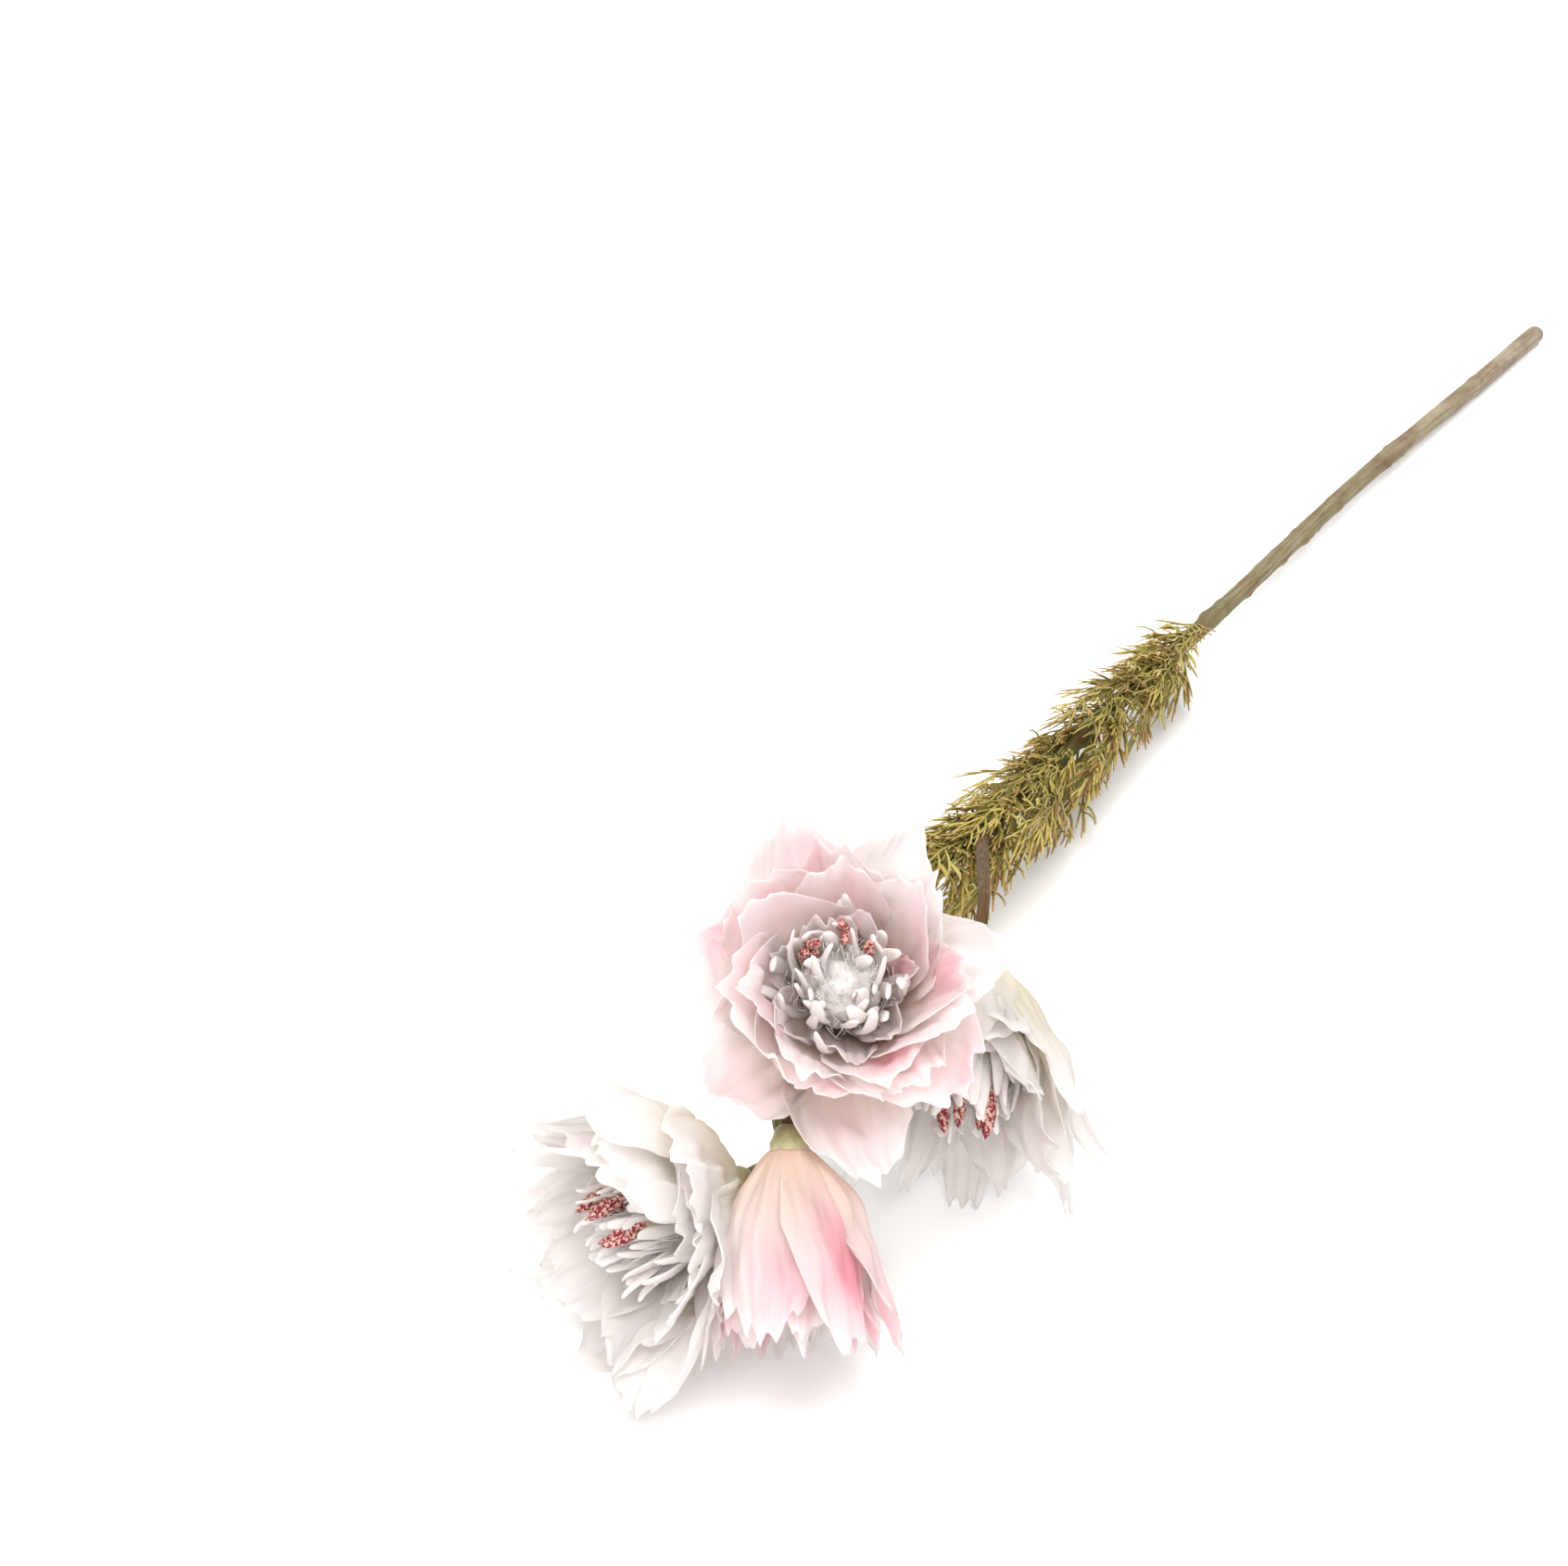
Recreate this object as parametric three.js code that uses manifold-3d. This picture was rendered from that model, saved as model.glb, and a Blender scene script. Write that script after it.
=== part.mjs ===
// A cut protea spray lying on a surface: one woody stem with needle leaves and four flower heads.
// Millimetres, +Z up. The stem runs along +Y from the flower heads to its cut end. The origin is
// on the surface, under the middle of the spray.
//
// Each flower head is built round its own +Z axis, with the end of its stalk at its origin, and is
// then turned and placed. From the outside in, it has seven outer bracts, a whorl of middle bracts,
// a ring of florets like blunt fingers, and a tuft of styles, all on a receptacle.

import * as THREE from "three";
import { mergeVertices } from "three/addons/utils/BufferGeometryUtils.js";
import Module from "manifold-3d";

const wasm = await Module();
wasm.setup();

// ---- Driving dimensions, in millimetres and degrees ----

const CLEARANCE = 0.35; // the gap that neighbouring pieces keep

// The main stem: a bare length from its cut end, then the length that carries leaves and stalks.
// Its last points are worked out from the left head, which it carries.
const STEM_CUT_RADIUS = 2.5;
const STEM_TOP_RADIUS = 1.7;
const STEM_SIDES = 8;
const STEM_STEPS = 44;
const BARE_LENGTH = 213;
const BARE_ROUTE = [
  // x, share of the bare length, z
  [6, 1, STEM_CUT_RADIUS],
  [2, 0.732, 3.5],
  [-2, 0.455, 5],
  [-3, 0.178, 7.5],
];
const LEAFY_TOP = 112; // where the leafy length ends and the bare length starts, along +Y
const LEAFY_ROUTE = [
  // x, y, z
  [-3, LEAFY_TOP, 10],
  [-4, 55, 13.5],
  [-3, 5, 17],
  [-5, -22, 19],
  [-3, -51, 20],
  [3, -83, 20],
  [12, -107, 24],
];
const STEM_APPROACH = 9; // straight length behind the left head

// The side stalks.
const STALK_ROOT_RADIUS = 1.5;
const STALK_TOP_RADIUS = 1.2;
const STALK_SIDES = 6;
const STALK_STEPS = 12;
const STALK_LEAD = 5; // how far a stalk keeps the stem's direction where it leaves it

// A head's own sizes.
const RECEPTACLE_RADIUS = 5;
const RECEPTACLE_HEIGHT = 10;
const RECEPTACLE_SIDES = 12;
const RECEPTACLE_FOOT_SHARE = 0.72; // the radius where the bracts leave it, as a share of its own
const BRACT_THICKNESS = 0.8;
const BRACTS_IN_WHORL = 7;
const BRACT_CUP = 180 / BRACTS_IN_WHORL; // half of the arc that a bract's cross-section follows
const OUTER_BRACT_LENGTH = 43;
const OUTER_BRACT_WIDTH = 17;
const OUTER_BRACT_SEAT = 4.6; // its height on the receptacle
const OUTER_BRACT_ROOT = 24; // how much further out than its opening a bract's foot points
const OUTER_BRACT_FLARE = 4; // and its tip
const MIDDLE_BRACT_LENGTH = 36;
const MIDDLE_BRACT_WIDTH = 11.5;
const WHORL_STEP = 3.3; // how much higher the middle bracts sit
const MIDDLE_BRACT_SPLAY = 0.075; // opening, as a share of the outer bracts' per mm of floret ring
const MIDDLE_BRACT_ROOT = 18;
const MIDDLE_BRACT_FLARE = -8; // its tip turns in
const BRACT_HANDLE = 0.36; // how much of its length a bract keeps its foot's and its tip's directions
const COLLAR_SHARE = 0.92; // the collar's radius, as a share of the receptacle's
const COLLAR_HEIGHT = 1.3;
const FLORET_COUNT = 9;
const FLORET_LENGTH = 23;
const FLORET_RADIUS = 1.5;
const FLORET_RING_RADIUS = 7.2;
const FLORET_DISC_HEIGHT = 1.2;
const FLORET_DISC_SHARE = 0.56; // the disc's radius, as a share of the ring's
const STYLE_TUFT_RADIUS = 3.6;
const STYLE_TUFT_HEIGHT = 18;
const HEAD_REACH = RECEPTACLE_RADIUS + OUTER_BRACT_LENGTH + OUTER_BRACT_WIDTH / 2;
const OPEN_HEAD = 38; // the opening at which the centre of a head has its full width
const CLOSED_SPREAD = 0.7; // and the least share of that width

// The flower heads. base is where a head meets its stalk and height is how high that is, both as
// shares of HEAD_REACH, so that the heads keep clear of each other. A head with no height rests on
// the surface. yaw turns a head from -Y towards +X, pitch lifts its face, opening is the angle
// between its axis and its outer bracts, and droop opens the ones on its lower side further. size
// is its scale. joins is where its stalk leaves the main stem, in millimetres from the stem's head
// end, way is what the stalk passes on the way, and approach is its straight length behind the head.
const HEADS = [
  {
    name: "top_head",
    base: [0.3186, -1.7168],
    height: 0.7788,
    yaw: 32,
    pitch: 53,
    opening: 38,
    droop: 16,
    size: 0.97,
    pink: true,
    joins: 128,
    way: [[-8, -62, 34]],
    approach: 8,
  },
  {
    name: "left_head",
    base: [0.3009, -2.2301],
    yaw: -24,
    pitch: 4,
    opening: 37,
    droop: 0,
    size: 0.94,
  },
  {
    name: "front_head",
    base: [0.4425, -2.2212],
    yaw: 34,
    pitch: -42,
    opening: 19,
    droop: 0,
    size: 0.95,
    pink: true,
    joins: 56,
    way: [],
    approach: 5,
  },
  {
    name: "right_head",
    base: [0.531, -1.1681],
    yaw: 24,
    pitch: -30,
    opening: 24,
    droop: 0,
    size: 1.08,
    joins: 138,
    way: [],
    approach: 8,
  },
];

// The leaves: where each leaves the stem, in millimetres from the stem's head end, its turn round
// the stem from straight up, and its length.
const LEAF_RACHIS_RADIUS = 0.8;
const LEAF_NEEDLE_RADIUS = 0.55;
const LEAF_NEEDLE_LENGTH = 15;
const LEAF_NEEDLE_PAIRS = 4;
const LEAF_NEEDLE_SPREAD = 30; // the angle between a needle and its leaf
const LEAF_BARE_SHARE = 0.3; // how much of a leaf is bare before its first needles
const LEAF_LAST_SHARE = 0.88; // where its last needles leave it
const LEAF_TIP_RADIUS = 0.3; // the end of a needle, and of the leaf
const LEAF_RISE = 22; // the angle between a leaf and the stem
const LEAVES = [
  { at: 243, turn: 60, length: 44 },
  { at: 234, turn: -70, length: 46 },
  { at: 220, turn: 0, length: 46 },
  { at: 206, turn: 105, length: 48 },
  { at: 197, turn: -105, length: 48 },
  { at: 183, turn: 40, length: 50 },
  { at: 174, turn: -40, length: 48 },
  { at: 160, turn: 95, length: 48 },
  { at: 151, turn: -95, length: 48 },
  { at: 138, turn: 20, length: 46 },
  { at: 128, turn: -60, length: 44 },
  { at: 119, turn: 75, length: 40 },
];

const BARK = { color: 0x6b5a35, roughness: 0.75, metalness: 0 };
const LEAF = { color: 0x7d7a2a, roughness: 0.6, metalness: 0 };
const CALYX = { color: 0xc9c79a, roughness: 0.7, metalness: 0 };
const BRACT_WHITE = { color: 0xf1ecef, roughness: 0.55, metalness: 0 };
const BRACT_PINK = { color: 0xf6c6d6, roughness: 0.55, metalness: 0 };
const FLORET = { color: 0xf5ead8, roughness: 0.6, metalness: 0 };
const STYLE = { color: 0xc9773f, roughness: 0.7, metalness: 0 };

// ---- Solids ----

const radians = THREE.MathUtils.degToRad;

/** A closed three.js geometry as a manifold-3d solid. */
function solidOf(geometry) {
  const bare = geometry.index ? geometry.toNonIndexed() : geometry.clone();
  bare.deleteAttribute("normal");
  bare.deleteAttribute("uv");
  const merged = mergeVertices(bare, 1e-4);
  return new wasm.Manifold(
    new wasm.Mesh({
      numProp: 3,
      vertProperties: new Float32Array(merged.attributes.position.array),
      triVerts: new Uint32Array(merged.index.array),
    }),
  );
}

/** A manifold-3d solid as a three.js geometry. */
function geometryOf(solid) {
  const mesh = solid.getMesh();
  const geometry = new THREE.BufferGeometry();
  geometry.setAttribute("position", new THREE.BufferAttribute(mesh.vertProperties, 3));
  geometry.setIndex(new THREE.BufferAttribute(mesh.triVerts, 1));
  geometry.computeVertexNormals();
  return geometry;
}

/** Moves each vertex of a geometry to where place(vertex) says. */
function reshape(geometry, place) {
  const position = geometry.attributes.position;
  const vertex = new THREE.Vector3();
  for (let i = 0; i < position.count; i++) {
    const moved = place(vertex.fromBufferAttribute(position, i));
    position.setXYZ(i, moved.x, moved.y, moved.z);
  }
  geometry.computeVertexNormals();
  return geometry;
}

/** A round rod along a curve, whose radius at each share of its length is radiusAt(share). */
function rod(curve, radiusAt, sides, steps) {
  const frames = curve.computeFrenetFrames(steps);
  const cylinder = new THREE.CylinderGeometry(1, 1, 1, sides, steps);
  return reshape(cylinder, (vertex) => {
    const share = THREE.MathUtils.clamp(0.5 - vertex.y, 0, 1);
    const step = Math.round(share * steps);
    const radius = radiusAt(share);
    return curve
      .getPointAt(share)
      .addScaledVector(frames.normals[step], vertex.x * radius)
      .addScaledVector(frames.binormals[step], vertex.z * radius);
  });
}

/** Three.js turns a lathe or a cylinder round +Y, and a head stands on +Z. */
function upright(geometry) {
  return geometry.rotateX(Math.PI / 2);
}

/** Copies of a closed geometry at even turns round +Z, joined onto a solid. */
function joinRing(hub, geometry, count, firstTurn) {
  let joined = hub;
  for (let i = 0; i < count; i++) {
    const turned = geometry.clone().rotateZ(firstTurn + (i * 2 * Math.PI) / count);
    joined = joined.add(solidOf(turned));
  }
  return joined;
}

function taper(from, to) {
  return (share) => THREE.MathUtils.lerp(from, to, share);
}

// ---- One flower head, in its own frame ----

/** The receptacle's outline, grown outwards by extra. */
function receptacle(extra = 0) {
  const radius = RECEPTACLE_RADIUS;
  const height = RECEPTACLE_HEIGHT;
  const outline = [
    new THREE.Vector2(0, -extra),
    new THREE.Vector2(radius * 0.34 + extra, -extra),
    new THREE.Vector2(radius * RECEPTACLE_FOOT_SHARE + extra, height * 0.2),
    new THREE.Vector2(radius + extra, height * 0.5),
    new THREE.Vector2(radius * 0.82 + extra, height * 0.78),
    new THREE.Vector2(radius * 0.6 + extra, height + extra),
    new THREE.Vector2(0, height + extra),
  ];
  return upright(new THREE.LatheGeometry(outline, RECEPTACLE_SIDES));
}

/** How wide a bract is at each share of its length, as a share of its width. */
function bractOutline(along) {
  return Math.sin(Math.PI * (0.06 + 0.84 * along ** 1.2)) ** 0.75 * (1 - 0.8 * along ** 7);
}

/** A bract on the +X side: a thin leaf, cupped across, that leaves the receptacle, rises and flares. */
function bract({ length, width, seat, opening, root, flare, across, along }) {
  const direction = (angle) => new THREE.Vector2(Math.sin(radians(angle)), Math.cos(radians(angle)));
  const foot = new THREE.Vector2(RECEPTACLE_RADIUS * RECEPTACLE_FOOT_SHARE, seat);
  const tip = foot.clone().addScaledVector(direction(opening), length);
  const spine = new THREE.CubicBezierCurve(
    foot,
    foot.clone().addScaledVector(direction(root), length * BRACT_HANDLE),
    tip.clone().addScaledVector(direction(flare), -length * BRACT_HANDLE),
    tip,
  );
  const cup = radians(BRACT_CUP);
  const sector = Math.tan(Math.PI / BRACTS_IN_WHORL); // a bract keeps to its own share of the turn
  const slab = new THREE.BoxGeometry(2, 1, 1, across, along, 1);
  return reshape(slab, ({ x: side, y: rise, z: layer }) => {
    const share = rise + 0.5;
    const half = (width / 2) * bractOutline(share);
    const spot = spine.getPoint(share);
    const tangent = spine.getTangent(share);
    const outward = layer * BRACT_THICKNESS - (half * (1 - Math.cos(side * cup))) / Math.sin(cup);
    const x = spot.x + tangent.y * outward;
    const y = (half * Math.sin(side * cup)) / Math.sin(cup);
    const reach = x * sector - CLEARANCE / 2 / Math.cos(Math.PI / BRACTS_IN_WHORL);
    return new THREE.Vector3(
      x,
      THREE.MathUtils.clamp(y, -reach, reach),
      spot.y - tangent.x * outward,
    );
  });
}

/** One outer bract, with its foot cut to sit round the receptacle. */
function outerBract(opening) {
  const leaf = bract({
    length: OUTER_BRACT_LENGTH,
    width: OUTER_BRACT_WIDTH,
    seat: OUTER_BRACT_SEAT,
    opening,
    root: opening + OUTER_BRACT_ROOT,
    flare: opening + OUTER_BRACT_FLARE,
    across: 3,
    along: 4,
  });
  return geometryOf(solidOf(leaf).subtract(solidOf(receptacle(CLEARANCE))));
}

/** The middle bracts, joined by a collar round the receptacle. */
function middleBracts(opening) {
  const leaf = bract({
    length: MIDDLE_BRACT_LENGTH,
    width: MIDDLE_BRACT_WIDTH,
    seat: OUTER_BRACT_SEAT + WHORL_STEP,
    opening,
    root: opening + MIDDLE_BRACT_ROOT,
    flare: opening + MIDDLE_BRACT_FLARE,
    across: 2,
    along: 3,
  });
  const radius = RECEPTACLE_RADIUS * COLLAR_SHARE + CLEARANCE;
  const collar = upright(new THREE.CylinderGeometry(radius, radius, COLLAR_HEIGHT, RECEPTACLE_SIDES));
  collar.translate(0, 0, OUTER_BRACT_SEAT + WHORL_STEP + COLLAR_HEIGHT / 2);
  const whorl = joinRing(solidOf(collar), leaf, BRACTS_IN_WHORL, Math.PI / BRACTS_IN_WHORL);
  return geometryOf(whorl.subtract(solidOf(receptacle(CLEARANCE))));
}

/** The florets: blunt fingers that stand in a ring on a disc and curl in at their tips. */
function florets(spread) {
  const floor = RECEPTACLE_HEIGHT + CLEARANCE;
  const ring = FLORET_RING_RADIUS * spread;
  const radius = ring * FLORET_DISC_SHARE;
  const disc = upright(new THREE.CylinderGeometry(radius, radius, FLORET_DISC_HEIGHT, FLORET_COUNT));
  disc.translate(0, 0, floor + FLORET_DISC_HEIGHT / 2);
  const curve = new THREE.CatmullRomCurve3([
    new THREE.Vector3(radius - FLORET_RADIUS * 0.5, 0, floor + FLORET_DISC_HEIGHT / 2),
    new THREE.Vector3(ring * 0.92, 0, floor + FLORET_LENGTH * 0.4),
    new THREE.Vector3(ring, 0, floor + FLORET_LENGTH * 0.75),
    new THREE.Vector3(ring * 0.8, 0, floor + FLORET_LENGTH),
  ]);
  const fullness = (share) => FLORET_RADIUS * (0.75 + 0.25 * Math.sin(Math.PI * share));
  return geometryOf(joinRing(solidOf(disc), rod(curve, fullness, 4, 3), FLORET_COUNT, 0));
}

/** The tuft of styles, as one solid of its outer shape. */
function styleTuft(spread) {
  const foot = RECEPTACLE_HEIGHT + 2 * CLEARANCE + FLORET_DISC_HEIGHT;
  const radius = STYLE_TUFT_RADIUS * spread;
  const outline = [
    [0, 0],
    [radius * 0.4, 0],
    [radius * 0.7, STYLE_TUFT_HEIGHT * 0.4],
    [radius, STYLE_TUFT_HEIGHT * 0.8],
    [radius * 0.7, STYLE_TUFT_HEIGHT],
    [0, STYLE_TUFT_HEIGHT],
  ];
  const points = outline.map(([x, y]) => new THREE.Vector2(x, foot + y));
  return upright(new THREE.LatheGeometry(points, 8));
}

function mesh(name, geometry, finish) {
  const made = new THREE.Mesh(geometry, new THREE.MeshStandardMaterial(finish));
  made.name = name;
  return made;
}

function flowerHead({ name, opening, droop, pink }) {
  const head = new THREE.Group();
  const spread = THREE.MathUtils.clamp(opening / OPEN_HEAD, CLOSED_SPREAD, 1);
  const middleShare = MIDDLE_BRACT_SPLAY * FLORET_RING_RADIUS;
  const outerFinish = pink ? BRACT_PINK : BRACT_WHITE;
  head.add(mesh(`${name}_receptacle`, receptacle(), CALYX));
  for (let i = 0; i < BRACTS_IN_WHORL; i++) {
    const turn = (i * 2 * Math.PI) / BRACTS_IN_WHORL;
    const lowerSide = Math.max(0, Math.cos(turn)) ** 3;
    const leaf = mesh(`${name}_outer_bract_${i + 1}`, outerBract(opening + droop * lowerSide), outerFinish);
    leaf.rotation.z = turn;
    head.add(leaf);
  }
  head.add(mesh(`${name}_middle_bracts`, middleBracts(opening * middleShare), outerFinish));
  head.add(mesh(`${name}_florets`, florets(spread), FLORET));
  head.add(mesh(`${name}_styles`, styleTuft(spread), STYLE));
  return head;
}

// ---- The spray: heads, stems and leaves ----

/** Which way a head faces. */
function headAxis({ yaw, pitch }) {
  const level = Math.cos(radians(pitch));
  return new THREE.Vector3(
    Math.sin(radians(yaw)) * level,
    -Math.cos(radians(yaw)) * level,
    Math.sin(radians(pitch)),
  );
}

/** A head in its place. A head with no height of its own lies with its lowest bract on the surface. */
function placedHead(spec) {
  const head = flowerHead(spec);
  head.rotation.set(0, radians(90 - spec.pitch), radians(spec.yaw - 90), "ZYX");
  head.scale.setScalar(spec.size);
  head.position.set(spec.base[0], spec.base[1], spec.height ?? 0).multiplyScalar(HEAD_REACH);
  if (spec.height === undefined) {
    head.position.z = -new THREE.Box3().setFromObject(head, true).min.z;
  }
  return head;
}

/** A point behind a head, on its axis. */
function behind(head, spec, distance) {
  return head.position.clone().addScaledVector(headAxis(spec), -distance);
}

/** Where on the stem a distance from its head end is, as a share of its length. */
function shareAt(stem, distance) {
  return 1 - distance / stem.getLength();
}

/** The curve of a side stalk, from the stem's centre line by its way points to its head. */
function stalkCurve(stem, head, spec) {
  const share = shareAt(stem, spec.joins);
  const start = stem.getPointAt(share);
  return new THREE.CatmullRomCurve3([
    start,
    start.clone().addScaledVector(stem.getTangentAt(share), STALK_LEAD),
    ...spec.way.map((point) => new THREE.Vector3(...point)),
    behind(head, spec, spec.approach),
    behind(head, spec, CLEARANCE),
  ]);
}

/** A leaf with needles in pairs on both sides. It leaves the origin along +Z, leaning to +X. */
function leafSolid(length) {
  const lean = (angle) => new THREE.Vector3(Math.sin(radians(angle)), 0, Math.cos(radians(angle)));
  const tip = lean(LEAF_RISE * 0.85).multiplyScalar(length);
  const rachis = new THREE.CubicBezierCurve3(
    new THREE.Vector3(),
    lean(LEAF_RISE).multiplyScalar(length / 3),
    tip.clone().addScaledVector(lean(LEAF_RISE * 0.5), -length / 3),
    tip,
  );
  let leaf = solidOf(rod(rachis, taper(LEAF_RACHIS_RADIUS, LEAF_TIP_RADIUS), 4, 4));
  const spread = radians(LEAF_NEEDLE_SPREAD);
  for (let pair = 0; pair < LEAF_NEEDLE_PAIRS; pair++) {
    const part = pair / (LEAF_NEEDLE_PAIRS - 1);
    const share = THREE.MathUtils.lerp(LEAF_BARE_SHARE, LEAF_LAST_SHARE, part);
    const start = rachis.getPointAt(share);
    const reach = LEAF_NEEDLE_LENGTH * (1 - 0.35 * share);
    for (const side of [-1, 1]) {
      const direction = rachis.getTangentAt(share).multiplyScalar(Math.cos(spread));
      direction.y += side * Math.sin(spread);
      const end = start.clone().addScaledVector(direction, reach);
      const needle = rod(new THREE.LineCurve3(start, end), taper(LEAF_NEEDLE_RADIUS, LEAF_TIP_RADIUS), 3, 1);
      leaf = leaf.add(solidOf(needle));
    }
  }
  return leaf;
}

/** Turns a geometry built along +Z so that it follows the stem from a distance to its head end on. */
function alongStem(geometry, stem, { at, turn }) {
  const share = shareAt(stem, at);
  const tangent = stem.getTangentAt(share);
  const side = new THREE.Vector3().crossVectors(tangent, new THREE.Vector3(0, 0, 1)).normalize();
  const up = new THREE.Vector3().crossVectors(side, tangent);
  const outward = up
    .multiplyScalar(Math.cos(radians(turn)))
    .addScaledVector(side, Math.sin(radians(turn)));
  const across = new THREE.Vector3().crossVectors(tangent, outward);
  const frame = new THREE.Matrix4().makeBasis(outward, across, tangent);
  return geometry.applyMatrix4(frame.setPosition(stem.getPointAt(share)));
}

const spray = new THREE.Group();
spray.name = "protea_spray";

const heads = new Map(HEADS.map((spec) => [spec, placedHead(spec)]));
spray.add(...heads.values());

const stemHead = HEADS.find((spec) => spec.joins === undefined);
const stem = new THREE.CatmullRomCurve3([
  ...BARE_ROUTE.map(([x, share, z]) => new THREE.Vector3(x, LEAFY_TOP + share * BARE_LENGTH, z)),
  ...LEAFY_ROUTE.map((point) => new THREE.Vector3(...point)),
  behind(heads.get(stemHead), stemHead, STEM_APPROACH),
  behind(heads.get(stemHead), stemHead, CLEARANCE),
]);
const stemRadius = taper(STEM_CUT_RADIUS, STEM_TOP_RADIUS);
const stemGeometry = rod(stem, stemRadius, STEM_SIDES, STEM_STEPS);
spray.add(mesh("main_stem", stemGeometry, BARK));

// What grows out of the stem starts at its centre line and is cut clear of its surface.
const stemWithGap = solidOf(
  rod(stem, (share) => stemRadius(share) + CLEARANCE, STEM_SIDES, STEM_STEPS),
);

for (const [spec, head] of heads) {
  if (spec === stemHead) continue;
  const stalk = rod(
    stalkCurve(stem, head, spec),
    taper(STALK_ROOT_RADIUS, STALK_TOP_RADIUS),
    STALK_SIDES,
    STALK_STEPS,
  );
  spray.add(mesh(`${spec.name}_stalk`, geometryOf(solidOf(stalk).subtract(stemWithGap)), BARK));
}

LEAVES.forEach((spec, index) => {
  const leaf = alongStem(geometryOf(leafSolid(spec.length)), stem, spec);
  spray.add(mesh(`leaf_${index + 1}`, geometryOf(solidOf(leaf).subtract(stemWithGap)), LEAF));
});

// The whole spray is set on the surface with its middle over the origin.
const box = new THREE.Box3().setFromObject(spray, true);
const middle = box.getCenter(new THREE.Vector3());
spray.position.set(-middle.x, -middle.y, -box.min.z);

export default spray;
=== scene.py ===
"""A cut protea spray: a woody stem with needle leaves and four papery flower heads."""

import math
import random

import bmesh
import bpy
from bpy.props import FloatProperty, FloatVectorProperty, IntProperty, PointerProperty
from mathutils import Matrix, Vector, noise


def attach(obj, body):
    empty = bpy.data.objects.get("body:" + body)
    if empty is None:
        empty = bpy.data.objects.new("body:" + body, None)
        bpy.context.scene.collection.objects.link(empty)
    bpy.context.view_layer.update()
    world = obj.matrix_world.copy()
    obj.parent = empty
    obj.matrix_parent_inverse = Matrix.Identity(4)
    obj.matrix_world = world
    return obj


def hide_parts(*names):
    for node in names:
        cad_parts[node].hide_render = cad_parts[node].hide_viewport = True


bl_info = {
    "name": "Cut protea spray",
    "version": (1, 0, 0),
    "blender": (4, 5, 0),
    "location": "3D View > Sidebar > Protea",
    "description": "Grows the bracts, florets, leaves and bark of a cut protea spray",
    "category": "Add Mesh",
}

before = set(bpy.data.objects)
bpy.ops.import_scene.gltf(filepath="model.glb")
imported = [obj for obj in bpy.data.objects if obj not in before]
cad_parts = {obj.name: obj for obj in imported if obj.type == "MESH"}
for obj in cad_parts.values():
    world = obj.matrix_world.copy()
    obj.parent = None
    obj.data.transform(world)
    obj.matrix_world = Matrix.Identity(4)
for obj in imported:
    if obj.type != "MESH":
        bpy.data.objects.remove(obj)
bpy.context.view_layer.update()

MM = 0.001
HEADS = ("top_head", "left_head", "front_head", "right_head")
STALKS = ("top_head_stalk", "front_head_stalk", "right_head_stalk")
BRACTS_IN_WHORL = 7
LEAVES = sorted(
    (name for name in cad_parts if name.startswith("leaf_")),
    key=lambda name: int(name.split("_")[1]),
)

# A head's own frame, in metres at size 1: its receptacle's height, and where its bracts start.
RECEPTACLE_HEIGHT = 10 * MM
BRACT_FOOT_RADIUS = 3.6 * MM
OUTER_SEAT = 4.6 * MM
MIDDLE_SEAT = 7.9 * MM
FLORET_SEAT = 10.5 * MM

# A bract's curve, the patch of blush on it, and the least height of any of it above the floor.
BRACT_HANDLE = 0.36
BLUSH_LENGTH = 0.24
BLUSH_WIDTH = 0.6
# How fast the mask of the painted rim highlight rises toward a bract's ragged end.
MARGIN_SHARPNESS = 3.2
LEAST_HEIGHT = 0.3 * MM
OUTER_ROW_GAP = 1.6 * MM
INNER_RING_GAP = 1.2 * MM

# Rings of florets: share of the florets' number, reach in ring radii, share of the length.
FLORET_RINGS = ((1.1, 1.6, 0.84), (1.2, 1.25, 0.98), (1.0, 0.9, 1.06), (0.6, 0.5, 1.04))
STYLE_CLUSTERS = 3
CLUSTER_SPACING = 0.95
SWOLLEN_TIP = 0.7 * MM
HAIR_RADIUS = 0.2 * MM

# The lamps: their places from the point that the camera looks at, their sizes in metres, and
# the fill's share of the key's power.
KEY_PLACE, KEY_SIZE = Vector((-0.9, 0.75, 1.1)), 1.1
FILL_PLACE, FILL_SIZE = Vector((0.28, -0.42, 1.15)), 1.2
FILL_SHARE = 2.6

# A rod's cross-sections and steps, and half the length and width of a leaf scar on it.
STEM_SLICES, STEM_STEPS = 60, 420
STALK_SLICES, STALK_STEPS = 16, 60
SCAR_LENGTH = 1.6 * MM
SCAR_TURN = 0.7


# ---- Reading the solids ----


def corners(node):
    """The different corner points of a solid."""
    found = {tuple(round(c, 6) for c in vertex.co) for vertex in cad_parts[node].data.vertices}
    return [Vector(point) for point in sorted(found)]


def mean(points):
    return sum(points, Vector()) / len(points)


def slice_centres(node, start, end, count):
    """Centres and radii of a rod's cross-sections, at even steps from start to end."""
    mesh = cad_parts[node].data
    along = (end - start).normalized()
    length = (end - start).length
    reach = [(vertex.co - start).dot(along) for vertex in mesh.vertices]
    sections = []
    for step in range(count):
        level = length * (0.004 + 0.992 * step / (count - 1))
        crossing = []
        for edge in mesh.edges:
            a, b = edge.vertices
            low, high = reach[a], reach[b]
            if (low - level) * (high - level) < 0:
                share = (level - low) / (high - low)
                crossing.append(mesh.vertices[a].co.lerp(mesh.vertices[b].co, share))
        if crossing:
            centre = mean(crossing)
            radius = sum((point - centre).length for point in crossing) / len(crossing)
            sections.append((centre, radius))
    return sections


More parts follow.
